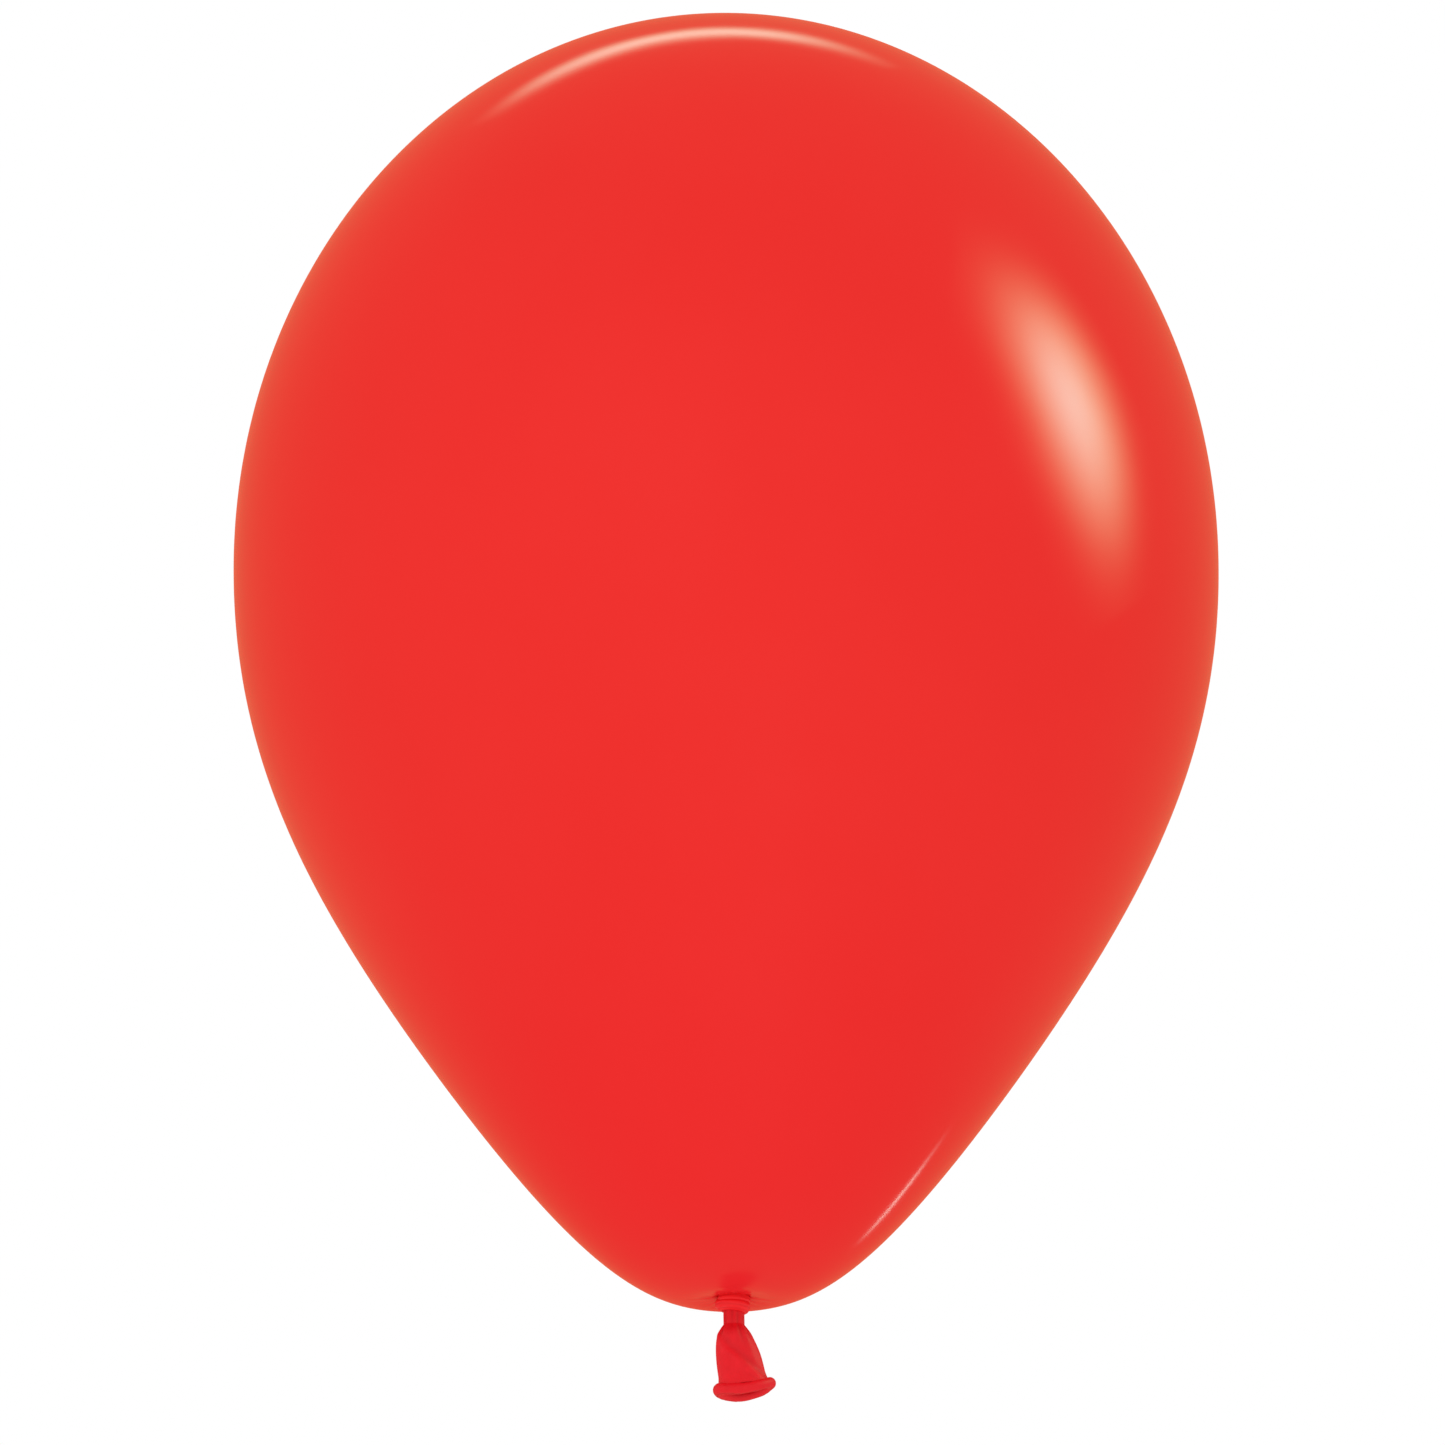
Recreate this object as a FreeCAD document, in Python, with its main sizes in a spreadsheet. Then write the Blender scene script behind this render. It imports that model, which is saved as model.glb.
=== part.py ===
import FreeCAD, Part

import math
import os
import re

import Sketcher

# An inflated latex balloon, tied off by hand. The whole balloon is one dipped latex film, so its
# sub-parts are the regions of that film: the blown envelope, the core of gathered film that runs
# through the knot, the knot wrapped round it, the pinched neck, the slack skirt and its rolled lip.
#
# Millimetres, +Z up. The origin is where a ribbon ties on: the centre of the knot's underside.

DIMENSIONS = [
    # alias, value, meaning
    ("widest_radius", 150, "radius of the envelope at its widest ring"),
    ("crown_rise", 172, "height of the crown above the widest ring"),
    ("flank_drop", 230, "drop from the widest ring to the lowest ring of the envelope"),
    ("flank_handle", 103, "how far the side stays upright below the widest ring"),
    ("waist_radius", 88, "control radius that draws the straight lower side"),
    ("waist_drop", 137, "drop of that control point below the widest ring"),
    ("base_handle", 46, "how far the rounded base stays level outside the lowest ring"),
    ("base_radius", 9, "radius of the lowest ring, round the dimple"),
    ("base_level", 3.6, "height of the lowest ring above the tie point"),
    ("dimple_rise", 3.6, "depth of the dimple that the knot is drawn into"),
    ("dimple_radius", 6.1, "radius of the dimple's wall, clear of the knot"),
    ("film", 0.4, "wall of the envelope"),
    ("core_radius", 3.2, "radius of the gathered film inside the knot"),
    ("knot_radius", 5.3, "outer radius of the knot"),
    ("knot_height", 6.0, "height of the knot"),
    ("knot_round", 1.7, "rounding of the knot's edges"),
    ("neck_radius", 2.4, "radius of the pinched neck under the knot"),
    ("neck_drop", 2.7, "drop from the tie point to the pivot of the neck"),
    ("heel_radius", 3.2, "radius of the neck where the skirt hangs on it"),
    ("heel_drop", 7.9, "drop from the tie point to the pivot of the skirt"),
    ("tail_lean", 10.5, "lean of the slack tail towards +X, in degrees"),
    ("skirt_gap", 0.3, "free gap between the neck and the skirt's closed top"),
    ("skirt_wall", 0.45, "wall of the slack skirt"),
    ("skirt_cap", 1.5, "thickness of the folded film that closes the skirt's top"),
    ("skirt_round", 1.5, "rounding of the skirt's shoulder"),
    ("shoulder_width", 6.2, "half width of the skirt at its top"),
    ("shoulder_depth", 4.9, "half depth of the skirt at its top"),
    ("belly_drop", 7.2, "drop from the skirt's pivot to its upper belly"),
    ("belly_width", 7.1, "half width of the skirt there"),
    ("belly_depth", 5.0, "half depth of the skirt there"),
    ("waistline_drop", 11, "drop from the skirt's pivot to its lower belly"),
    ("waistline_width", 7.3, "half width of the skirt there"),
    ("waistline_depth", 5.1, "half depth of the skirt there"),
    ("lip_drop", 16, "drop from the skirt's pivot to the middle of the rolled lip"),
    ("lip_width", 7.45, "half width of the mouth, to the middle of the bead"),
    ("lip_depth", 4.8, "half depth of the mouth, to the middle of the bead"),
    ("bead_radius", 1.7, "radius of the rolled bead"),
    ("bead_land", 0.6, "half width of the flat on the bead that carries the skirt"),
    ("round_handle", 0.5523, "handle length that turns a cubic into a quarter ellipse"),
]

ORIGIN = (-1, 1)
X_AXIS = -1
Y_AXIS = -2
START, END, CENTRE = 1, 2, 3

doc = FreeCAD.newDocument("balloon")


# Driving dimensions

sheet = doc.addObject("Spreadsheet::Sheet", "sizes")
for row, (alias, value, meaning) in enumerate(DIMENSIONS, start=1):
    sheet.set(f"A{row}", meaning)
    sheet.set(f"B{row}", str(value))
    sheet.setAlias(f"B{row}", alias)
doc.recompute()

SIZE = {alias: float(sheet.get(alias)) for alias, _, _ in DIMENSIONS}
SHEET_NAMES = {alias: f"sizes.{alias}" for alias in SIZE}


def bound(formula):
    """A formula in sheet names, as an expression that reads the sheet."""
    return re.sub(r"[a-z_]+", lambda word: SHEET_NAMES.get(word.group(), word.group()), formula)


# Sketch helpers

def plane(body, role):
    return next(item for item in body.Origin.OriginFeatures if item.Role == role)


def new_body(label):
    body = doc.addObject("PartDesign::Body", label)
    body.Label = label
    return body


def new_sketch(body, name, role="XZ_Plane", height=None):
    """A sketch on one of the body's own origin planes, lifted to a height given as a formula."""
    sketch = body.newObject("Sketcher::SketchObject", name)
    sketch.AttachmentSupport = [(plane(body, role), "")]
    sketch.MapMode = "FlatFace"
    if height is not None:
        sketch.setExpression(".AttachmentOffset.Base.z", bound(height))
    doc.recompute()
    return sketch


def value_of(formula):
    """The number a formula in sheet names stands for, worked out by the sheet itself."""
    sheet.set("D1", "=" + formula)
    sheet.recompute()
    value = float(sheet.get("D1"))
    sheet.clear("D1")
    return value


def hold(sketch, kind, geometry, formula):
    """A constraint on one piece of geometry whose value is a formula."""
    number = sketch.addConstraint(Sketcher.Constraint(kind, geometry, value_of(formula)))
    sketch.setExpression(f"Constraints[{number}]", bound(formula))


def pin_point(sketch, geometry, position, place):
    """Hold a point of the sketch at a place given as two formulas; 0 puts it on an axis."""
    for kind, axis, formula in (("DistanceX", Y_AXIS, place[0]), ("DistanceY", X_AXIS, place[1])):
        if formula == "0":
            sketch.addConstraint(Sketcher.Constraint("PointOnObject", geometry, position, axis))
        else:
            number = sketch.addConstraint(
                Sketcher.Constraint(kind, *ORIGIN, geometry, position, value_of(formula)))
            sketch.setExpression(f"Constraints[{number}]", bound(formula))


def point(place):
    return FreeCAD.Vector(*(0.0 if formula == "0" else value_of(formula) for formula in place), 0)


def add_curve(sketch, places):
    """A Bezier curve whose control points are held at the given places; returns its number."""
    count = len(places)
    curve = Part.BSplineCurve()
    curve.buildFromPolesMultsKnots([point(place) for place in places], [count, count], [0.0, 1.0],
                                   False, count - 1)
    number = sketch.addGeometry(curve, False)
    first_pole = sketch.GeometryCount
    sketch.exposeInternalGeometry(number)
    for offset, place in enumerate(places):
        pin_point(sketch, first_pole + offset, CENTRE, place)
    return number


def add_line(sketch, start, end, pinned=True):
    number = sketch.addGeometry(Part.LineSegment(point(start), point(end)), False)
    if pinned:
        pin_point(sketch, number, START, start)
        pin_point(sketch, number, END, end)
    return number


def add_bridge(sketch, first, second, start, end):
    """A straight line from the end of one curve to the start of the next."""
    number = add_line(sketch, start, end, pinned=False)
    sketch.addConstraint(Sketcher.Constraint("Coincident", number, START, *first))
    sketch.addConstraint(Sketcher.Constraint("Coincident", number, END, *second))


def add_ellipse(sketch, half_width, half_depth):
    """An ellipse on the sketch's origin whose two half axes are formulas."""
    wide, deep = value_of(half_width), value_of(half_depth)
    number = sketch.addGeometry(Part.Ellipse(FreeCAD.Vector(), wide, deep), False)
    major = sketch.GeometryCount
    sketch.exposeInternalGeometry(number)
    sketch.addConstraint(Sketcher.Constraint("Coincident", number, CENTRE, *ORIGIN))
    sketch.addConstraint(Sketcher.Constraint("Horizontal", major))
    for line, half in ((major, half_width), (major + 1, half_depth)):
        hold(sketch, "Distance", line, f"2 * ({half})")


def revolve(body, name, sketch):
    feature = body.newObject("PartDesign::Revolution", name)
    feature.Profile = sketch
    feature.ReferenceAxis = (sketch, ["V_Axis"])
    feature.Angle = 360
    doc.recompute()
    return feature


# Envelope: the blown film, round about Z, with a dimple under it that the knot is drawn into. The
# dimple's roof ends on the gathered core, which closes the film.

def envelope_curves(inset):
    """Crown, side and dimple of the film, from the crown down, inset from its outer face."""
    middle = "(base_level + flank_drop)"
    radius = f"(widest_radius - {inset})"
    top = f"(crown_rise - {inset})"
    base = f"(base_level + {inset})"
    roof = f"(base_level + dimple_rise + {inset})"
    wall = f"(dimple_radius + {inset})"
    crown = [("0", f"{middle} + {top}"),
             (f"{radius} * round_handle", f"{middle} + {top}"),
             (radius, f"{middle} + {top} * round_handle"),
             (radius, middle)]
    side = [(radius, middle),
            (radius, f"{middle} - flank_handle"),
            (f"waist_radius - {inset}", f"{middle} - waist_drop"),
            ("base_radius + base_handle", base),
            ("base_radius", base)]
    dimple = [("base_radius", base),
              (wall, base),
              (wall, roof),
              ("core_radius", roof)]
    return [crown, side, dimple]


def build_envelope():
    body = new_body("envelope")
    profile = new_sketch(body, "envelope_profile")
    outer = envelope_curves("0")
    inner = envelope_curves("film")
    outer_numbers = [add_curve(profile, places) for places in outer]
    inner_numbers = [add_curve(profile, places) for places in inner]
    add_bridge(profile, (outer_numbers[2], END), (inner_numbers[2], END), outer[2][-1], inner[2][-1])
    add_bridge(profile, (outer_numbers[0], START), (inner_numbers[0], START), outer[0][0], inner[0][0])
    revolve(body, "envelope_film", profile)
    return body


# Gathered core: the bunched film that passes from the envelope down through the knot

def build_core():
    body = new_body("gathered_core")
    profile = new_sketch(body, "core_profile")
    corners = [("0", "0"), ("core_radius", "0"),
               ("core_radius", "base_level + dimple_rise + film"),
               ("0", "base_level + dimple_rise + film")]
    for start, end in zip(corners, corners[1:] + corners[:1]):
        add_line(profile, start, end)
    revolve(body, "core_strand", profile)
    return body


# Knot: the film wrapped once round the core and drawn tight, modelled as its rounded outer shape

def build_knot():
    body = new_body("knot")
    profile = new_sketch(body, "knot_profile")
    corners = [("core_radius", "0"), ("knot_radius", "0"),
               ("knot_radius", "knot_height"), ("core_radius", "knot_height")]
    for start, end in zip(corners, corners[1:] + corners[:1]):
        add_line(profile, start, end)
    wrap = revolve(body, "knot_wrap", profile)
    rims = [f"Edge{number}" for number, edge in enumerate(wrap.Shape.Edges, start=1)
            if isinstance(edge.Curve, Part.Circle) and edge.Curve.Radius > SIZE["core_radius"] + 1]
    rounding = body.newObject("PartDesign::Fillet", "knot_rounding")
    rounding.Base = (wrap, rims)
    rounding.setExpression("Radius", "sizes.knot_round")
    doc.recompute()
    return body


# Neck: the pinched strand below the knot, a ball at each pivot joined by a taper

def build_neck():
    body = new_body("neck")
    profile = new_sketch(body, "neck_profile")
    top, bottom = -SIZE["neck_drop"], -SIZE["heel_drop"]
    small, large = SIZE["neck_radius"], SIZE["heel_radius"]
    tilt = math.asin((large - small) / (top - bottom))
    quarter = math.pi / 2
    balls = []
    for height, radius, low, high, drop, size in (
            (top, small, tilt, quarter, "-neck_drop", "neck_radius"),
            (bottom, large, -quarter, tilt, "-heel_drop", "heel_radius")):
        circle = Part.Circle(FreeCAD.Vector(0, height, 0), FreeCAD.Vector(0, 0, 1), radius)
        number = profile.addGeometry(Part.ArcOfCircle(circle, low, high), False)
        pin_point(profile, number, CENTRE, ("0", drop))
        hold(profile, "Radius", number, size)
        balls.append(number)
    small_ball, large_ball = balls
    side_start = FreeCAD.Vector(small * math.cos(tilt), top + small * math.sin(tilt), 0)
    side_end = FreeCAD.Vector(large * math.cos(tilt), bottom + large * math.sin(tilt), 0)
    side = profile.addGeometry(Part.LineSegment(side_start, side_end), False)
    profile.addConstraint(Sketcher.Constraint("Tangent", side, START, small_ball, START))
    profile.addConstraint(Sketcher.Constraint("Tangent", side, END, large_ball, END))
    axis = profile.addGeometry(Part.LineSegment(FreeCAD.Vector(0, bottom - large, 0),
                                                FreeCAD.Vector(0, top + small, 0)), False)
    profile.addConstraint(Sketcher.Constraint("PointOnObject", axis, START, Y_AXIS))
    profile.addConstraint(Sketcher.Constraint("PointOnObject", axis, END, Y_AXIS))
    profile.addConstraint(Sketcher.Constraint("Coincident", axis, START, large_ball, START))
    profile.addConstraint(Sketcher.Constraint("Coincident", axis, END, small_ball, END))
    revolve(body, "neck_strand", profile)
    return body


# Skirt and lip: the slack end of the film below the neck, drawn upright on the pivot of the skirt
# and leaned over as a whole

LAND_RISE = "sqrt(bead_radius * bead_radius - bead_land * bead_land)"


def lean(body):
    body.setExpression(".Placement.Base.z", bound("-heel_drop"))
    body.Placement.Rotation = FreeCAD.Rotation(FreeCAD.Vector(0, -1, 0), SIZE["tail_lean"])
    body.setExpression(".Placement.Rotation.Angle", bound("tail_lean"))


def loft(body, name, kind, sections, prefix):
    sketches = []
    for number, (height, half_width, half_depth) in enumerate(sections, start=1):
        section = new_sketch(body, f"{prefix}_{number}", "XY_Plane", height)
        add_ellipse(section, half_width, half_depth)
        sketches.append(section)
    doc.recompute()
    feature = body.newObject(kind, name)
    feature.Profile = sketches[0]
    feature.Sections = sketches[1:]
    doc.recompute()
    return feature


def skirt_sections(inset, top):
    """The skirt's oval sections from its top down, inset from its outer face."""
    return [(f"-(heel_radius + skirt_gap + {top})", f"shoulder_width - {inset}",
             f"shoulder_depth - {inset}"),
            ("-belly_drop", f"belly_width - {inset}", f"belly_depth - {inset}"),
            ("-waistline_drop", f"waistline_width - {inset}", f"waistline_depth - {inset}"),
            (f"-lip_drop + {LAND_RISE}", f"lip_width + skirt_wall / 2 - {inset}",
             f"lip_depth + skirt_wall / 2 - {inset}")]


def build_skirt():
    body = new_body("tail_skirt")
    solid = loft(body, "skirt_outside", "PartDesign::AdditiveLoft", skirt_sections("0", "0"), "outer")
    whole = solid.Shape.Volume
    top_face = max(solid.Shape.Faces, key=lambda face: face.CenterOfMass.z)
    shoulder = [f"Edge{number}" for number, edge in enumerate(solid.Shape.Edges, start=1)
                if any(edge.isSame(rim) for rim in top_face.Edges)]
    rounding = body.newObject("PartDesign::Fillet", "skirt_shoulder")
    rounding.Base = (solid, shoulder)
    rounding.setExpression("Radius", "sizes.skirt_round")
    doc.recompute()
    loft(body, "skirt_inside", "PartDesign::SubtractiveLoft",
         skirt_sections("skirt_wall", "skirt_cap"), "inner")
    if body.Shape.Volume > 0.4 * whole:
        raise RuntimeError("the skirt was not hollowed")
    lean(body)
    return body


def build_lip():
    """A rolled bead round the mouth, with a narrow flat on top where the skirt runs into it."""
    body = new_body("rolled_lip")
    mouth = new_sketch(body, "mouth_line", "XY_Plane", "-lip_drop")
    add_ellipse(mouth, "lip_width", "lip_depth")
    section = new_sketch(body, "bead_section")
    radius = SIZE["bead_radius"]
    middle = FreeCAD.Vector(SIZE["lip_width"], -SIZE["lip_drop"], 0)
    flat_angle = math.acos(SIZE["bead_land"] / radius)
    circle = Part.Circle(middle, FreeCAD.Vector(0, 0, 1), radius)
    bead = section.addGeometry(
        Part.ArcOfCircle(circle, math.pi - flat_angle, 2 * math.pi + flat_angle), False)
    land = section.addGeometry(
        Part.LineSegment(section.getPoint(bead, END), section.getPoint(bead, START)), False)
    pin_point(section, bead, CENTRE, ("lip_width", "-lip_drop"))
    section.addConstraint(Sketcher.Constraint("Coincident", land, START, bead, END))
    section.addConstraint(Sketcher.Constraint("Coincident", land, END, bead, START))
    section.addConstraint(Sketcher.Constraint("Horizontal", land))
    hold(section, "Radius", bead, "bead_radius")
    hold(section, "Distance", land, "2 * bead_land")
    doc.recompute()
    bead_pipe = body.newObject("PartDesign::AdditivePipe", "bead")
    bead_pipe.Profile = section
    bead_pipe.Spine = mouth
    doc.recompute()
    lean(body)
    return body


subparts = [build_envelope(), build_core(), build_knot(), build_neck(), build_skirt(), build_lip()]
doc.recompute()


# Checks, then one STEP file for each sub-part

for item in doc.Objects:
    if "Invalid" in item.State or "Error" in item.State:
        raise RuntimeError(f"{item.Label} failed: {item.State}")

for body in subparts:
    if body.Shape.isNull() or not body.Shape.isValid() or len(body.Shape.Solids) != 1:
        raise RuntimeError(f"{body.Label} is not one valid solid")

os.makedirs("parts", exist_ok=True)
for body in subparts:
    body.Shape.exportStep(f"parts/{body.Label}.step")
    box = body.Shape.BoundBox
    print(f"{body.Label:14s} {body.Shape.Volume:10.1f} mm3   x {box.XMin:7.2f} {box.XMax:7.2f}   "
          f"y {box.YMin:7.2f} {box.YMax:7.2f}   z {box.ZMin:7.2f} {box.ZMax:7.2f}")
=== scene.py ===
import math

import bpy
import numpy as np
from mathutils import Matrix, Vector


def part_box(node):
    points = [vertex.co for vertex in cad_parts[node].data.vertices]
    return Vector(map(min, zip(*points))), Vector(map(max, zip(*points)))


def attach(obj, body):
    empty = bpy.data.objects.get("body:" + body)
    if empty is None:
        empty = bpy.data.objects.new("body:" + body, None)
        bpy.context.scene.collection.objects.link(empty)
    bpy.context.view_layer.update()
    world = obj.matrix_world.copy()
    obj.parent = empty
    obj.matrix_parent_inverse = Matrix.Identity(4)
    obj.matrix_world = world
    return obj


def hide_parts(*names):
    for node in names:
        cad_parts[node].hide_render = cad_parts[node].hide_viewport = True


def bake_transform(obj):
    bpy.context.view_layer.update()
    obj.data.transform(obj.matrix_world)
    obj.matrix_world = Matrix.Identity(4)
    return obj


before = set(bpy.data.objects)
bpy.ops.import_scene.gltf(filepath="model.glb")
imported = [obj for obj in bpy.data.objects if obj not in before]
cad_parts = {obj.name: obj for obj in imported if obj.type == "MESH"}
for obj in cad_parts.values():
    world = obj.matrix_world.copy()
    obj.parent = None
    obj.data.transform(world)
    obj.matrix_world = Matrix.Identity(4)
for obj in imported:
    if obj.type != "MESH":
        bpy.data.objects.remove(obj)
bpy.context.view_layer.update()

# A red latex balloon tied off by hand. Metres, +Z up, origin at the tie under the knot.

MM = 0.001

# Sizes read from the frame

envelope_low, envelope_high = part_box("envelope")
knot_low, knot_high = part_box("knot")
lip_low, lip_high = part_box("rolled_lip")

RADIUS = envelope_high.x
BASE = envelope_low.z
CROWN = envelope_high.z
WIDEST_SHARE = 0.5721         # height of the widest ring, as a share of the envelope's
WIDEST = BASE + WIDEST_SHARE * (CROWN - BASE)
KNOT_HALF = knot_high.x


# Mesh helpers

def smoothstep(value):
    value = np.clip(value, 0.0, 1.0)
    return value * value * (3 - 2 * value)


def bezier(points, count):
    """Points along the Bezier curve of any degree that has these control points."""
    points = np.array(points, float)
    degree = len(points) - 1
    t = np.linspace(0, 1, count)[:, None]
    return sum(math.comb(degree, i) * (1 - t) ** (degree - i) * t ** i * points[i]
               for i in range(degree + 1))


def ring_mesh(name, rings, values, closed_on_itself=False):
    """A smooth closed mesh over a grid of rings, shape (rings, points, 3). Its two ends are closed
    with fans, or meet each other. values are named numbers, one for each grid point, kept as
    point attributes."""
    levels, points = rings.shape[:2]
    vertices = rings.reshape(-1, 3)
    faces = []
    for level in range(levels if closed_on_itself else levels - 1):
        upper, lower = level * points, (level + 1) % levels * points
        for k in range(points):
            n = (k + 1) % points
            faces.append((upper + k, lower + k, lower + n, upper + n))
    fan_starts = [] if closed_on_itself else [0, (levels - 1) * points]
    for start in fan_starts:
        centre = len(vertices)
        vertices = np.vstack([vertices, vertices[start:start + points].mean(axis=0)])
        for k in range(points):
            n = (k + 1) % points
            pair = (start + k, start + n) if start == 0 else (start + n, start + k)
            faces.append((centre, *pair))
    mesh = bpy.data.meshes.new(name)
    mesh.from_pydata(vertices.tolist(), [], faces)
    for label, grid in values.items():
        flat = grid.reshape(-1).tolist()
        flat += [flat[start] for start in fan_starts]
        mesh.attributes.new(label, "FLOAT", "POINT").data.foreach_set("value", flat)
    mesh.polygons.foreach_set("use_smooth", [True] * len(mesh.polygons))
    mesh.update()
    piece = bpy.data.objects.new(name, mesh)
    bpy.context.scene.collection.objects.link(piece)
    return piece


def rounded(piece):
    """Adds one level of subdivision and applies it, so that the mesh itself is smooth."""
    modifier = piece.modifiers.new("smooth", "SUBSURF")
    modifier.levels = 1
    bpy.context.view_layer.update()
    graph = bpy.context.evaluated_depsgraph_get()
    mesh = bpy.data.meshes.new_from_object(piece.evaluated_get(graph), depsgraph=graph)
    piece.modifiers.clear()
    piece.data = mesh


# Materials

def node_material(name):
    material = bpy.data.materials.new(name)
    material.use_nodes = True
    nodes, links = material.node_tree.nodes, material.node_tree.links
    shader = nodes["Principled BSDF"]
    return material, nodes, links, shader


def noise(nodes, links, vector, scale, detail, roughness=0.5):
    texture = nodes.new("ShaderNodeTexNoise")
    texture.inputs["Scale"].default_value = scale
    texture.inputs["Detail"].default_value = detail
    texture.inputs["Roughness"].default_value = roughness
    links.new(vector, texture.inputs["Vector"])
    return texture.outputs["Fac"]


def remap(nodes, links, value, low, high, to_low, to_high):
    node = nodes.new("ShaderNodeMapRange")
    node.inputs["From Min"].default_value = low
    node.inputs["From Max"].default_value = high
    node.inputs["To Min"].default_value = to_low
    node.inputs["To Max"].default_value = to_high
    links.new(value, node.inputs["Value"])
    return node.outputs["Result"]


def blend_colour(nodes, links, factor, first, second):
    node = nodes.new("ShaderNodeMix")
    node.data_type = "RGBA"
    links.new(factor, node.inputs["Factor"])
    for socket, colour in ((node.inputs["A"], first), (node.inputs["B"], second)):
        if isinstance(colour, tuple):
            socket.default_value = (*colour, 1)
        else:
            links.new(colour, socket)
    return node.outputs["Result"]


def combine(nodes, links, operation, first, second):
    node = nodes.new("ShaderNodeMath")
    node.operation = operation
    for socket, value in ((node.inputs[0], first), (node.inputs[1], second)):
        if isinstance(value, (int, float)):
            socket.default_value = value
        else:
            links.new(value, socket)
    return node.outputs[0]


def attribute(nodes, name):
    node = nodes.new("ShaderNodeAttribute")
    node.attribute_name = name
    return node.outputs["Fac"]


def bump(nodes, links, heights, shader):
    """Chains (height, distance) pairs into the shader's normal."""
    normal = None
    for height, distance in heights:
        node = nodes.new("ShaderNodeBump")
        node.inputs["Strength"].default_value = 1.0
        node.inputs["Distance"].default_value = distance
        links.new(height, node.inputs["Height"])
        if normal is not None:
            links.new(normal, node.inputs["Normal"])
        normal = node.outputs["Normal"]
    links.new(normal, shader.inputs["Normal"])


def stretched_latex():
    """Blown film: bright and glossy, deeper and duller where it is thick, near the knot and the
    crown."""
    material, nodes, links, shader = node_material("stretched_latex")
    place = nodes.new("ShaderNodeTexCoord").outputs["Object"]
    slack = attribute(nodes, "slack")
    dullness = attribute(nodes, "dullness")
    clouds = remap(nodes, links, noise(nodes, links, place, 9, 3), 0.3, 0.7, 0, 1)
    darker, lighter = (0.868, 0.0218, 0.0218), (0.884, 0.0242, 0.0240)
    thick = (0.862, 0.0125, 0.0190)
    bright = blend_colour(nodes, links, clouds, darker, lighter)
    links.new(blend_colour(nodes, links, slack, bright, thick), shader.inputs["Base Color"])
    haze = noise(nodes, links, place, 22, 4)
    smoothest, roughest, added_where_dull = 0.085, 0.125, 0.14
    clean = remap(nodes, links, haze, 0.25, 0.75, smoothest, roughest)
    dull = combine(nodes, links, "MULTIPLY", dullness, added_where_dull)
    links.new(combine(nodes, links, "ADD", clean, dull), shader.inputs["Roughness"])
    shader.inputs["Specular IOR Level"].default_value = 0.5
    grain = noise(nodes, links, place, 1400, 2)
    swell = noise(nodes, links, place, 14, 2)
    bump(nodes, links, [(swell, 0.00025), (grain, 0.0000035)], shader)
    return material


def slack_latex():
    """Unstretched film: deep red and matt, finely wrinkled. Its colour carries painted shade,
    darker in creases, folds and at the neck, and on the knot a painted lightening that stands in
    for the light the balloon above keeps off it."""
    material, nodes, links, shader = node_material("slack_latex")
    place = nodes.new("ShaderNodeTexCoord").outputs["Object"]
    # painted shade mask: creases, folds, the pinched neck and the bead's edge are darkened in the
    # colour
    painted_shade = attribute(nodes, "painted_shade")
    # painted light mask: the whole knot is made paler, standing in for light that the balloon above
    # keeps off it
    knot_painted_light = attribute(nodes, "knot_painted_light")
    mottle = noise(nodes, links, place, 420, 3)
    darker, lighter = (0.78, 0.0050, 0.0125), (0.85, 0.0075, 0.0165)
    # a paler red as painted light on the knot, and a dark red as painted shade
    painted_light_colour, painted_shade_colour = (0.94, 0.0150, 0.0190), (0.56, 0.0045, 0.0095)
    body = blend_colour(nodes, links, remap(nodes, links, mottle, 0.3, 0.7, 0, 1), darker, lighter)
    body = blend_colour(nodes, links, knot_painted_light, body, painted_light_colour)
    links.new(blend_colour(nodes, links, painted_shade, body, painted_shade_colour), shader.inputs["Base Color"])
    links.new(remap(nodes, links, mottle, 0.25, 0.75, 0.46, 0.58), shader.inputs["Roughness"])
    shader.inputs["Specular IOR Level"].default_value = 0.25
    wrinkle = noise(nodes, links, place, 700, 4, 0.6)
    grain = noise(nodes, links, place, 5000, 2)
    bump(nodes, links, [(wrinkle, 0.00009), (grain, 0.00001)], shader)
    return material


STRETCHED = stretched_latex()
SLACK = slack_latex()


def dress(piece, material, slot, *nodes):
    piece.data.materials.append(material)
    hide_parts(*nodes)


# Envelope: the blown film, with the dimple that the knot is drawn into

ROUND_HANDLE = 0.5523         # handle length that turns a cubic into a quarter ellipse
FLANK_HANDLE = 0.448          # how far the side stays upright, as a share of the drop to the base
WAIST_RADIUS = 0.587          # control radius that draws the straight lower side
WAIST_DROP = 0.596            # drop of that control point, as a share of the drop to the base
BASE_HANDLE = 0.307           # how far the rounded base stays level, as a share of the radius
RING = 9 * MM                 # radius of the lowest ring, round the dimple
ROOF = BASE + 2.4 * MM        # top of the dimple
DRAWN_UP = 1.1 * MM           # how far the knot pulls the film up round itself
KNOT_BITE = 0.75 * MM         # how far the knot covers the dimple's wall
PLEATS = 15                   # main count of the pleats round the knot,
PLEAT_REACH = 17 * MM         # the radius where they die out,
PLEAT_DEPTH = 0.17 * MM       # and their depth
CORE_RADIUS = 3.0 * MM


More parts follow.
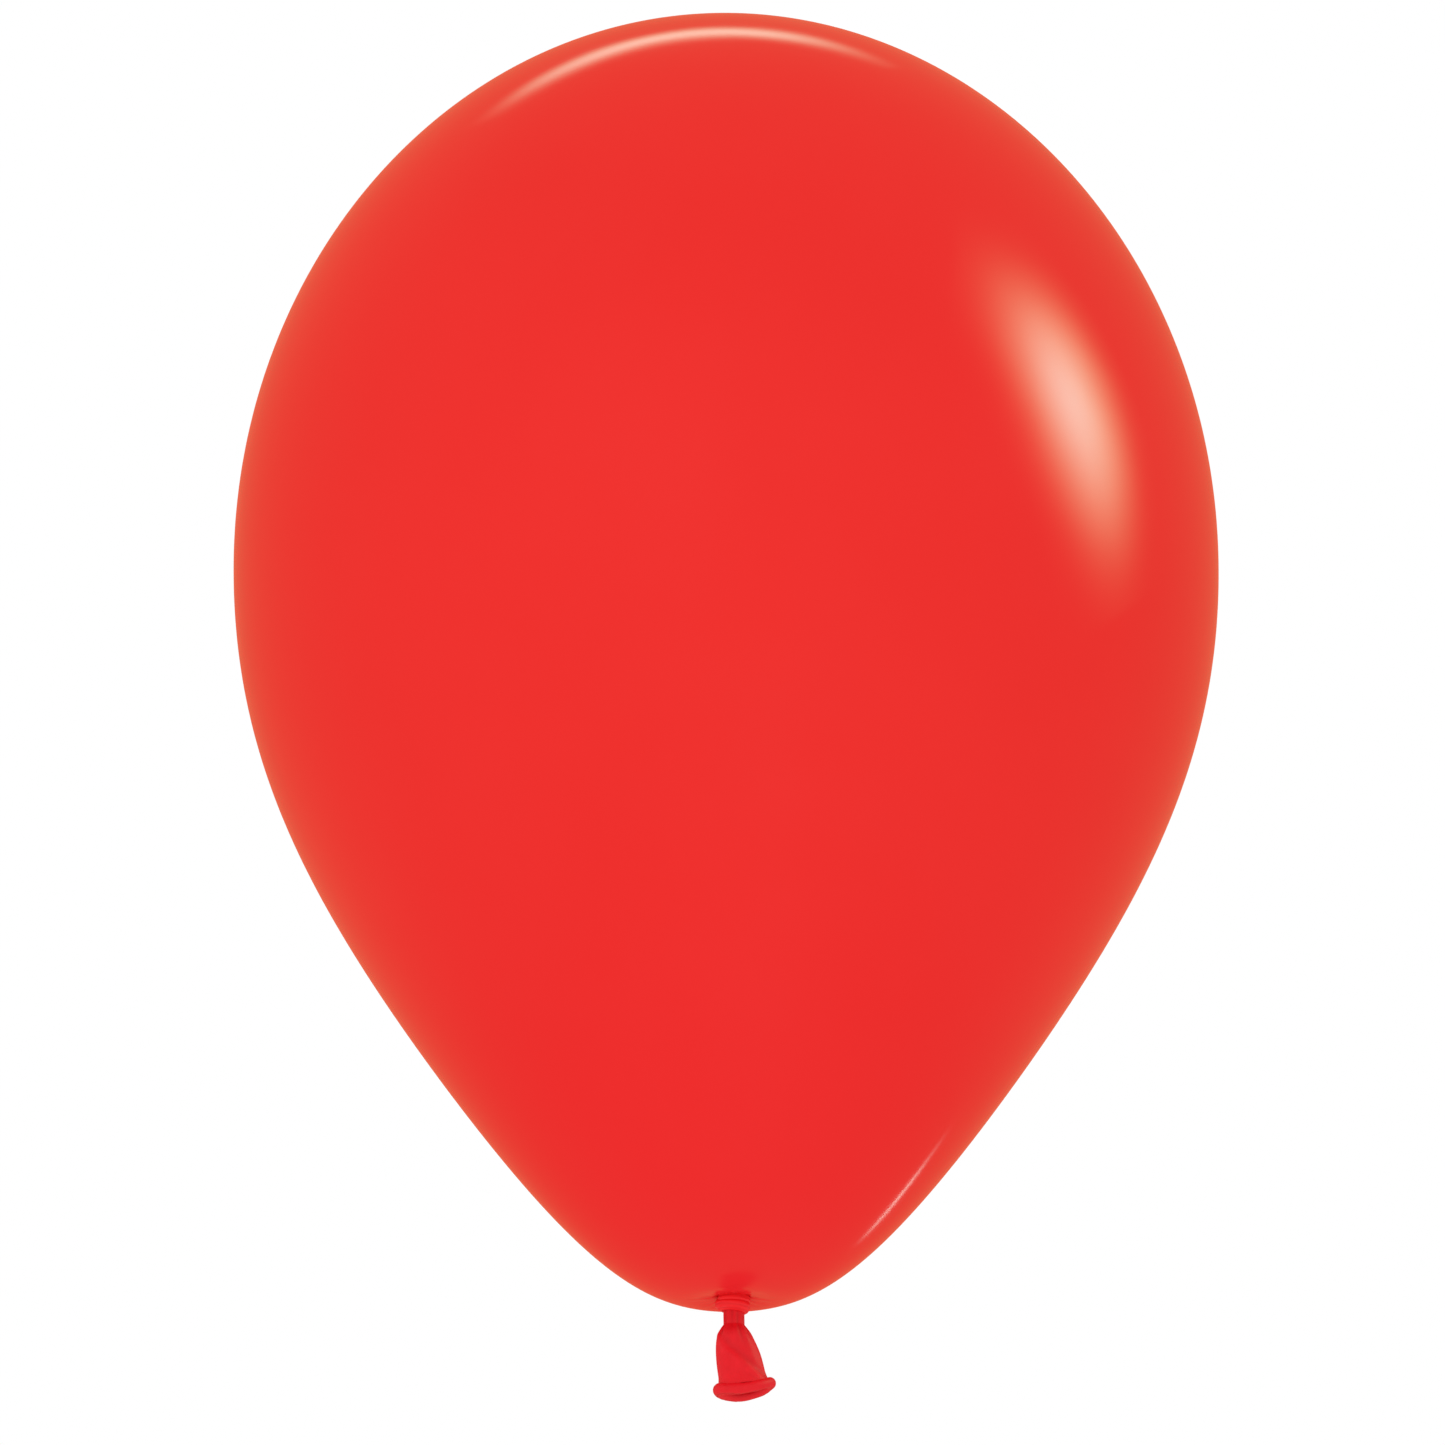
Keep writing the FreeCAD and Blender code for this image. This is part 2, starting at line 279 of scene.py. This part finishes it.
def envelope_profile():
    """Radius and height from the crown to the dimple's roof. Near the knot the film draws up
    and closes on it."""
    rise = CROWN - WIDEST
    drop = WIDEST - BASE
    wall = KNOT_HALF - KNOT_BITE
    crown = bezier([(0, CROWN), (RADIUS * ROUND_HANDLE, CROWN),
                    (RADIUS, WIDEST + rise * ROUND_HANDLE), (RADIUS, WIDEST)], 90)
    side = bezier([(RADIUS, WIDEST), (RADIUS, WIDEST - FLANK_HANDLE * drop),
                   (WAIST_RADIUS * RADIUS, WIDEST - WAIST_DROP * drop),
                   (RING + BASE_HANDLE * RADIUS, BASE), (RING, BASE)], 170)
    dimple = bezier([(RING, BASE), (wall + 1.6 * MM, BASE - 0.1 * MM),
                     (wall + 0.2 * MM, BASE - 0.1 * MM), (wall - 0.2 * MM, ROOF),
                     (CORE_RADIUS, ROOF)], 40)
    profile = np.vstack([crown, side[1:], dimple[1:]])
    radius, height = profile[:, 0], profile[:, 1]
    near_knot = np.exp(-((np.maximum(radius, 5 * MM) - 5 * MM) / (6.5 * MM)) ** 2)
    profile[:, 1] += DRAWN_UP * near_knot * np.clip((ROOF - height) / (ROOF - BASE), 0, 1)
    return profile


def build_envelope():
    """The profile turned round Z, with soft uneven pleats near the knot. slack is where the film is
    less stretched and so deeper in colour, and dullness is where it is rougher."""
    profile = envelope_profile()[1:]
    around = np.linspace(0, 2 * math.pi, 288, endpoint=False)
    radius = profile[:, 0][:, None]
    height = profile[:, 1][:, None]
    low = height < WIDEST
    near = np.where(low, smoothstep((PLEAT_REACH - radius) / (PLEAT_REACH - CORE_RADIUS)), 0.0)
    wander = 0.35 * np.sin(2 * around + 0.6) + 0.25 * np.sin(5 * around + 2.0)
    fold = (0.6 * np.cos(PLEATS * around + 2.6 * wander) + 0.5 * np.cos((PLEATS - 4) * around + 1.1)
            + 0.4 * np.cos((PLEATS + 8) * around - 2.0 * wander))
    sink = PLEAT_DEPTH * near ** 1.7 * fold
    rings = np.stack([radius * np.cos(around), radius * np.sin(around),
                      height + sink + 0 * around], axis=2)
    depth = (WIDEST - height) / (WIDEST - BASE)
    thick_base = 0.55 * smoothstep((depth - 0.35) / 0.6) + 0.15 * np.exp(-(radius / (7 * MM)) ** 2)
    thick_crown = 0.55 * np.exp(-(radius / (11 * MM)) ** 2)
    slack = np.where(low, thick_base, thick_crown) + 0 * around
    dullness = np.where(low, np.exp(-(radius / (30 * MM)) ** 2), thick_crown) + 0 * around
    piece = ring_mesh("balloon_envelope", rings, {"slack": slack, "dullness": dullness})
    dress(piece, STRETCHED, "stretched_latex", "envelope")
    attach(piece, "root")


# Gathered core and knot

def unit(vectors):
    return vectors / np.linalg.norm(vectors, axis=1)[:, None]


def tube_rings(path, ahead, across, upward):
    """Rings round a path that runs ahead. across and upward are each ring's outline, level and
    as near to Z as the path allows, as grids of distances."""
    side = unit(np.cross(ahead, [0.0, 0.0, 1.0]))
    over = np.cross(side, ahead)
    return (path[:, None, :] + across[..., None] * side[:, None, :]
            + upward[..., None] * over[:, None, :])


def build_core():
    """The gathered film inside the knot, seen only where the dimple runs into it."""
    levels = np.linspace(BASE + 4.2 * MM, knot_low.z + 0.6 * MM, 26)[:, None]
    around = np.linspace(0, 2 * math.pi, 96, endpoint=False)[None, :]
    pleat = np.cos(13 * around + 260 * levels) + 0.4 * np.cos(21 * around - 300 * levels)
    radius = CORE_RADIUS * (1.03 + 0.05 * pleat)
    rings = np.stack([radius * np.cos(around), radius * np.sin(around),
                      levels + 0 * around], axis=2)
    # painted shade: the pleats' hollows are darkened in the colour
    piece = ring_mesh("gathered_core_film", rings, {"painted_shade": np.clip(-pleat, 0, 1) * 0.6})
    dress(piece, SLACK, "slack_latex", "gathered_core")
    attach(piece, "root")


KNOT_TURNS = 2


def build_knot():
    """A pleated strand wrapped twice round the core, its two ends tucked into the middle."""
    t = np.linspace(0, 1, 168)
    middle = (knot_low.z + knot_high.z) / 2
    tuck = smoothstep(t / 0.12) * smoothstep((1 - t) / 0.14)
    angle = math.radians(-215) + math.radians(360 * KNOT_TURNS) * t
    reach = (0.9 + 2.35 * tuck) * MM
    level = middle + (1.15 - 2.2 * smoothstep((t - 0.15) / 0.75)) * MM
    path = np.stack([reach * np.cos(angle), reach * np.sin(angle), level], axis=1)
    ahead = np.roll(path, -1, 0) - np.roll(path, 1, 0)
    ahead[0] = path[1] - path[0]
    ahead[-1] = path[-1] - path[-2]
    wide = np.minimum((1.35 + 0.65 * tuck) * MM, KNOT_HALF - reach)[:, None]
    tall = (1.35 + 0.70 * tuck)[:, None] * MM
    around = np.linspace(0, 2 * math.pi, 64, endpoint=False)[None, :]
    twist = 2 * math.pi * 1.4 * t[:, None]
    pleat = np.cos(9 * around + twist) + 0.4 * np.cos(15 * around - 1.7 * twist + 1)
    swell = 1 + 0.03 * pleat
    rings = tube_rings(path, unit(ahead), wide * swell * np.cos(around),
                       tall * swell * np.sin(around))
    # painted shade: the pleats' hollows are darkened in the colour
    painted_shade = np.clip(-pleat, 0, 1) * 0.3
    # painted light: the whole knot is marked to be made paler, since the envelope above shades it
    piece = ring_mesh("knot_wrap", rings, {"painted_shade": painted_shade, "knot_painted_light": np.ones_like(painted_shade)})
    rounded(piece)
    dress(piece, SLACK, "slack_latex", "knot")
    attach(piece, "root")


# Neck and skirt: one slack tube, drawn by the same formulas and split between the two hinges. Each
# end is tucked inside the other piece, so that no gap shows at the split.

NECK_HALF = 3.0 * MM                    # half width of the pinched neck
OPENING = 4.05 * MM                     # how much the tube widens below it,
OPENING_START = 3.6 * MM                # from how far below the tie,
OPENING_LENGTH = 4.6 * MM               # and over about what length
LEAN = math.tan(math.radians(10.5))     # slope of the tail towards +X,
LEAN_START = 6.2 * MM                   # from how far below the tie
LIP_TILT = math.tan(math.radians(7.5))  # rise of the lip towards +X
SPLIT = -5.3 * MM                       # height where the neck hands over to the skirt,
OVERLAP = 0.9 * MM                      # how far each runs on into the other,
TUCK = 0.45 * MM                        # and how far it is drawn in there
LIP_HEIGHT = (lip_low.z + lip_high.z) / 2 + 0.6 * MM
MOUTH_HALF = 7.45 * MM                  # half width and half depth of the mouth, to the middle
MOUTH_DEPTH = 4.9 * MM                  # of its bead
BEAD = 1.7 * MM                         # radius of the bead
FILM = 0.38 * MM                        # thickness of the slack film


def half_width(height):
    """Half width of the slack tube: pinched at the neck, opening out quickly, flared at the lip."""
    below = -height
    opening = np.maximum(below - OPENING_START, 0)
    flare = 0.62 * MM * smoothstep((below - 18.2 * MM) / (4.4 * MM))
    return NECK_HALF + OPENING * (1 - np.exp(-opening / OPENING_LENGTH)) + flare


def half_depth(height):
    """Half depth of the tube: round at the neck, flattened lower down."""
    return half_width(height) * (1 - 0.28 * smoothstep((-height - 3.5 * MM) / (8 * MM)))


def lean_at(height):
    """How far the middle of the tail has drifted to +X at a height."""
    below = -height - LEAN_START
    return 0.25 * MM + LEAN * (below + np.sqrt(below ** 2 + (1.2 * MM) ** 2)) / 2


def ridge(angle, centre, width):
    """A bump of height 1 round one angle."""
    gap = (angle - centre + math.pi) % (2 * math.pi) - math.pi
    return np.exp(-(gap / width) ** 2)


def tail_rings(levels, shrink):
    """Rings of the slack tube at the given heights, taken in by shrink, and the painted shade at
    each point: darker at the pinched neck, in the pleats' hollows and along the folds. Fine pleats
    run down from the neck, and two folds cross the skirt."""
    height = levels[:, None]
    around = np.linspace(0, 2 * math.pi, 160, endpoint=False)[None, :]
    below = -height / MM
    neck_part = 1 - smoothstep((below - 5) / 7)
    lip_part = smoothstep((below - 17) / 5)
    twist = 0.16 * below
    pleat = np.cos(9 * around + twist) + 0.5 * np.cos(14 * around - 0.7 * twist + 1.3)
    pleat_depth = (0.12 * neck_part + 0.03 + 0.03 * lip_part) * MM
    course = math.radians(-168) + math.radians(8.2) * (below - 6)
    middle_part = smoothstep((below - 4) / 4) * (1 - smoothstep((below - 19.5) / 3.5))
    fold = (0.50 * ridge(around, course, 0.20) - 0.42 * ridge(around, course + 0.42, 0.24)
            + 0.36 * ridge(around, course + math.pi * 0.92, 0.22)
            - 0.34 * ridge(around, course + math.pi * 0.92 + 0.45, 0.26)
            - 0.25 * ridge(around, math.radians(-62), 0.45))
    dent = pleat_depth * pleat + 0.5 * MM * middle_part * fold
    wide = half_width(height) - shrink + dent
    deep = half_depth(height) - shrink + dent
    x = lean_at(height) + wide * np.cos(around)
    y = deep * np.sin(around)
    z = height + LIP_TILT * smoothstep((below - 7) / 8) * wide * np.cos(around)
    # painted shade: the top of the neck is darkened as if in its own shade
    neck_painted_shade = 0.22 * (1 - smoothstep((below - 5) / 3))
    # painted shade: the pleats' hollows and the folds' valleys are darkened too
    painted_shade = (neck_painted_shade + np.clip(-0.28 * pleat * neck_part, 0, 1)
              + np.clip(-0.8 * fold * middle_part, 0, 1))
    return np.stack([x, y, z], axis=2), np.clip(painted_shade, 0, 0.8)


def build_neck():
    levels = np.linspace(knot_low.z + 1.6 * MM, SPLIT - OVERLAP, 40)
    # the rings come with their painted shade for the neck, pleats and folds
    rings, painted_shade = tail_rings(levels, TUCK * smoothstep((SPLIT - levels) / OVERLAP)[:, None])
    piece = ring_mesh("pinched_neck", rings, {"painted_shade": painted_shade})
    dress(piece, SLACK, "slack_latex", "neck")
    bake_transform(piece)


def build_skirt():
    """Down the outside to the bead and back up the inside, so that the skirt is a hollow cup."""
    bottom = LIP_HEIGHT + 0.9 * MM
    outside = np.linspace(SPLIT + OVERLAP, bottom, 90)
    inside = np.linspace(bottom, -8.2 * MM, 60)
    tucked = TUCK * smoothstep((outside - SPLIT) / OVERLAP)[:, None]
    # each run of rings comes with its painted shade for the neck, pleats and folds
    outer, outer_painted_shade = tail_rings(outside, tucked)
    inner, inner_painted_shade = tail_rings(inside, FILM)
    rings = np.vstack([outer, inner])
    painted_shade = np.vstack([outer_painted_shade, inner_painted_shade])
    piece = ring_mesh("slack_skirt", rings, {"painted_shade": painted_shade})
    dress(piece, SLACK, "slack_latex", "tail_skirt")
    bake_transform(piece)


def build_lip():
    """The rolled bead: an uneven coil of film round an oval mouth, its ends higher than its
    front and back."""
    turn = np.linspace(0, 2 * math.pi, 220, endpoint=False)
    x = lean_at(LIP_HEIGHT) + MOUTH_HALF * np.cos(turn)
    y = MOUTH_DEPTH * np.sin(turn)
    saddle = 0.8 * MM * np.cos(2 * turn)
    z = LIP_HEIGHT + LIP_TILT * MOUTH_HALF * np.cos(turn) + saddle
    path = np.stack([x, y, z], axis=1)
    ahead = unit(np.roll(path, -1, 0) - np.roll(path, 1, 0))
    section = np.linspace(0, 2 * math.pi, 36, endpoint=False)[None, :]
    turn = turn[:, None]
    uneven = (1 + 0.04 * np.sin(3 * turn + 0.8) + 0.03 * np.sin(7 * turn + 2.1)
              + 0.24 * ridge(turn, math.pi, 0.75))
    edge = math.radians(-60) + 0.18 * np.sin(2 * turn + 1.0) + 0.1 * np.sin(5 * turn)
    since_edge = ((section - edge) % (2 * math.pi)) / (2 * math.pi)
    roll = 1 - 0.13 * since_edge ** 2
    radius = BEAD * uneven * roll
    rings = tube_rings(path, ahead, radius * np.cos(section), radius * np.sin(section))
    # painted shade: a dark band just before the roll's edge, and the whole bead a little darker
    painted_shade = 0.75 * smoothstep((since_edge - 0.90) / 0.1) + 0.12
    piece = ring_mesh("rolled_bead", rings, {"painted_shade": painted_shade}, closed_on_itself=True)
    rounded(piece)
    dress(piece, SLACK, "slack_latex", "rolled_lip")
    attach(piece, "tail")


# Floor, light and camera

FLOOR_HEIGHT = -4.2


def build_floor():
    """A wide pale floor far below, as under a balloon held in the air."""
    bpy.ops.mesh.primitive_circle_add(vertices=96, radius=30, fill_type="NGON",
                                      location=(0, 0, FLOOR_HEIGHT))
    floor = bpy.context.object
    floor.name = "floor"
    material, nodes, links, shader = node_material("floor_paint")
    place = nodes.new("ShaderNodeTexCoord").outputs["Object"]
    soft = noise(nodes, links, place, 2, 2)
    links.new(blend_colour(nodes, links, soft, (0.93, 0.93, 0.925), (0.96, 0.96, 0.955)),
              shader.inputs["Base Color"])
    shader.inputs["Roughness"].default_value = 0.9
    shader.inputs["Specular IOR Level"].default_value = 0.1
    floor.data.materials.append(material)
    floor.visible_glossy = False


def build_world():
    """White surroundings: full brightness behind the object, an even soft fill on it, and a
    warmer and dimmer room in the film's reflections."""
    world = bpy.data.worlds.new("studio")
    bpy.context.scene.world = world
    world.use_nodes = True
    nodes, links = world.node_tree.nodes, world.node_tree.links
    nodes.clear()
    path = nodes.new("ShaderNodeLightPath")
    output = nodes.new("ShaderNodeOutputWorld")

    def glow(red, green, blue):
        node = nodes.new("ShaderNodeBackground")
        node.inputs["Color"].default_value = (red, green, blue, 1)
        return node.outputs[0]

    def choose(factor, first, second):
        node = nodes.new("ShaderNodeMixShader")
        links.new(factor, node.inputs[0])
        links.new(first, node.inputs[1])
        links.new(second, node.inputs[2])
        return node.outputs[0]

    fill, room, backdrop = glow(0.925, 0.925, 0.925), glow(0.80, 0.19, 0.094), glow(1, 1, 1)
    lit = choose(path.outputs["Is Glossy Ray"], fill, room)
    links.new(choose(path.outputs["Is Camera Ray"], lit, backdrop), output.inputs[0])


def aim(thing, target):
    thing.rotation_euler = (Vector(target) - thing.location).to_track_quat("-Z", "Y").to_euler()


def direction(azimuth, elevation):
    """Unit vector from the object: azimuth 0 is towards the front, 90 towards +X."""
    a, e = math.radians(azimuth), math.radians(elevation)
    return Vector((math.sin(a) * math.cos(e), -math.cos(a) * math.cos(e), math.sin(e)))


def area_lamp(name, target, place, shape, width, power):
    """An area lamp at a place given as azimuth, elevation and distance from its target."""
    azimuth, elevation, distance = place
    lamp = bpy.data.lights.new(name, "AREA")
    lamp.shape = shape
    lamp.size = width
    lamp.energy = power
    holder = bpy.data.objects.new(name, lamp)
    bpy.context.scene.collection.objects.link(holder)
    holder.location = Vector(target) + direction(azimuth, elevation) * distance
    aim(holder, target)
    holder.visible_camera = False
    return lamp, holder


def soft_box(name, target, place, size, power, fade, edge_colour, colour, roll=0.0):
    """A rectangular lamp seen only in reflections. fade gives, across and along its face, the
    share of the size at which it has dropped to 1/e, and how abruptly it drops. Its colour goes
    from colour to edge_colour as it fades."""
    lamp, holder = area_lamp(name, target, place, "RECTANGLE", size[0], power)
    lamp.size_y = size[1]
    holder.rotation_euler.rotate_axis("Z", math.radians(roll))
    holder.visible_diffuse = False
    lamp.use_nodes = True
    nodes, links = lamp.node_tree.nodes, lamp.node_tree.links
    emission = nodes["Emission"]
    face = nodes.new("ShaderNodeNewGeometry").outputs["Parametric"]
    split = nodes.new("ShaderNodeSeparateXYZ")
    links.new(face, split.inputs[0])
    terms = []
    for axis, (share, abruptness) in zip(("X", "Y"), fade):
        offset = combine(nodes, links, "SUBTRACT", split.outputs[axis], 0.5)
        offset = combine(nodes, links, "ABSOLUTE", offset, 0.0)
        offset = combine(nodes, links, "DIVIDE", offset, share)
        terms.append(combine(nodes, links, "POWER", offset, abruptness))
    total = combine(nodes, links, "ADD", *terms)
    negative = combine(nodes, links, "MULTIPLY", total, -1.0)
    fading = combine(nodes, links, "POWER", math.e, negative)
    links.new(fading, emission.inputs["Strength"])
    links.new(blend_colour(nodes, links, fading, edge_colour, colour), emission.inputs["Color"])


def fill_lamp(name, place, width, power):
    """A square lamp that lights the film but isn't seen in it."""
    _, holder = area_lamp(name, (0, 0, WIDEST), place, "SQUARE", width, power)
    holder.visible_glossy = False


def build_lights():
    """Three lamps for the three highlights, each aimed at where its reflection shows, and two
    fill lamps. The reflected lamps are weak in red, because the film's own red is nearly full."""
    soft_box("side_box", target=(0.103, -0.109, WIDEST + 0.008), place=(90.0, 25.2, 1.2),
             size=(1.0, 1.3), power=35, fade=((0.225, 2), (0.245, 2)),
             edge_colour=(0.45, 1, 0.46), colour=(0.28, 1, 0.80), roll=33)
    soft_box("crown_strip", target=(0.0, -0.088, WIDEST + 0.14), place=(-171.5, 55.6, 1.5),
             size=(1.1, 0.30), power=2.45, fade=((0.380, 4), (0.29, 2)),
             edge_colour=(0.30, 1, 0.60), colour=(0.40, 1, 0.80))
    soft_box("base_strip", target=(0.050, -0.020, WIDEST - 0.202), place=(144, -17.5, 1.2),
             size=(0.26, 0.06), power=0.26, fade=((0.34, 3), (0.33, 2)),
             edge_colour=(0.5, 1, 0.9), colour=(0.5, 1, 0.9), roll=-45)
    fill_lamp("front_fill", place=(-20, 15, 2.2), width=1.6, power=2.2)
    fill_lamp("low_fill", place=(-10, -48, 1.6), width=1.4, power=2.2)


def build_camera():
    """Long lens, a little below the balloon and looking up, tipped half a degree."""
    distance = 2.5
    elevation = -18
    tip = -0.5
    target = Vector((-0.0015, 0, WIDEST - 0.0494))
    camera = bpy.data.cameras.new("camera")
    camera.sensor_width = 36
    camera.lens = 205.4
    holder = bpy.data.objects.new("camera", camera)
    bpy.context.scene.collection.objects.link(holder)
    holder.location = target + direction(0, elevation) * distance
    aim(holder, target)
    holder.rotation_euler.rotate_axis("Z", math.radians(tip))
    bpy.context.scene.camera = holder


build_camera()
build_envelope()
build_core()
build_knot()
build_neck()
build_skirt()
build_lip()
build_floor()
build_world()
build_lights()
bpy.context.scene.view_settings.view_transform = "Standard"
